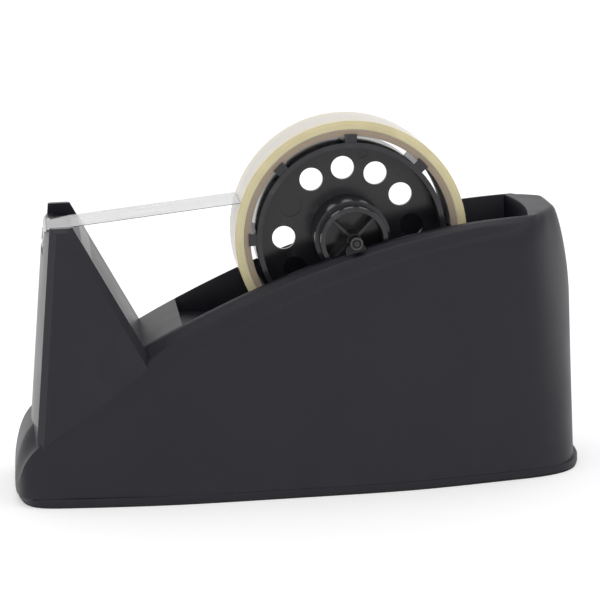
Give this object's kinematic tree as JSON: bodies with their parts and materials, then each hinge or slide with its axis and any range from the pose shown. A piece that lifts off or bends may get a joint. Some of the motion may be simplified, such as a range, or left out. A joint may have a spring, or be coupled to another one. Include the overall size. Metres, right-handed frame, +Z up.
{
  "type": "weighted desk tape dispenser",
  "caption": "Heavy desk tape dispenser: swept housing with an open well, lift-out reel with a clear tape roll, and an upright tower with a tape rest and toothed cutting blade.",
  "frame": {"origin": "on the resting plane, at the centre of the footprint's length and width", "axes": "+Z up, -X towards the blade tower at the front, +X towards the tall rear end, Y along the reel's axis"},
  "size_m": [0.2176, 0.0784, 0.1371],
  "materials": {
    "shell_black": "satin to gloss black moulded plastic",
    "tower_black": "gloss black moulded plastic",
    "base_black": "matt black moulded plastic",
    "pad_foam": "dark closed-cell foam, slightly rough",
    "ballast_iron": "rough casting",
    "screw_steel": "plain zinc-plated",
    "blade_steel": "stamped strip, bright",
    "spindle_black": "fine matt black",
    "reel_black": "fine satin black",
    "core_board": "wound tan paperboard",
    "tape_roll": "wound clear film, beige in depth",
    "tape_film": "single clear film, glossy"
  },
  "bodies": {
    "dispenser": {"housing": "shell_black", "base_plate": "base_black", "non_slip_pad": "pad_foam", "ballast_block": "ballast_iron", "base_screws": "screw_steel", "tower_cheek_left": "tower_black", "tower_cheek_right": "tower_black", "tower_front_panel": "tower_black", "tower_rear_panel": "tower_black", "tower_screws": "screw_steel", "tape_rest": "tower_black", "cutting_blade": "blade_steel", "blade_rivets": "screw_steel"},
    "spindle": {"spindle": "spindle_black", "spindle_cap": "spindle_black", "tape_strip": "tape_film"},
    "reel": {"reel_wheel": "reel_black", "reel_hub": "reel_black", "tape_core": "core_board", "tape_winding": "tape_roll"}
  },
  "joints": [
    {"name": "reel_lift", "type": "slide", "parent": "dispenser", "child": "spindle", "axis": [0, 0, 1], "range_m": [0, 0.055]},
    {"name": "reel_spin", "type": "hinge", "parent": "spindle", "child": "reel", "pos_m": [0.0219, 0, 0.0932], "axis": [0, 1, 0], "continuous": true}
  ]
}
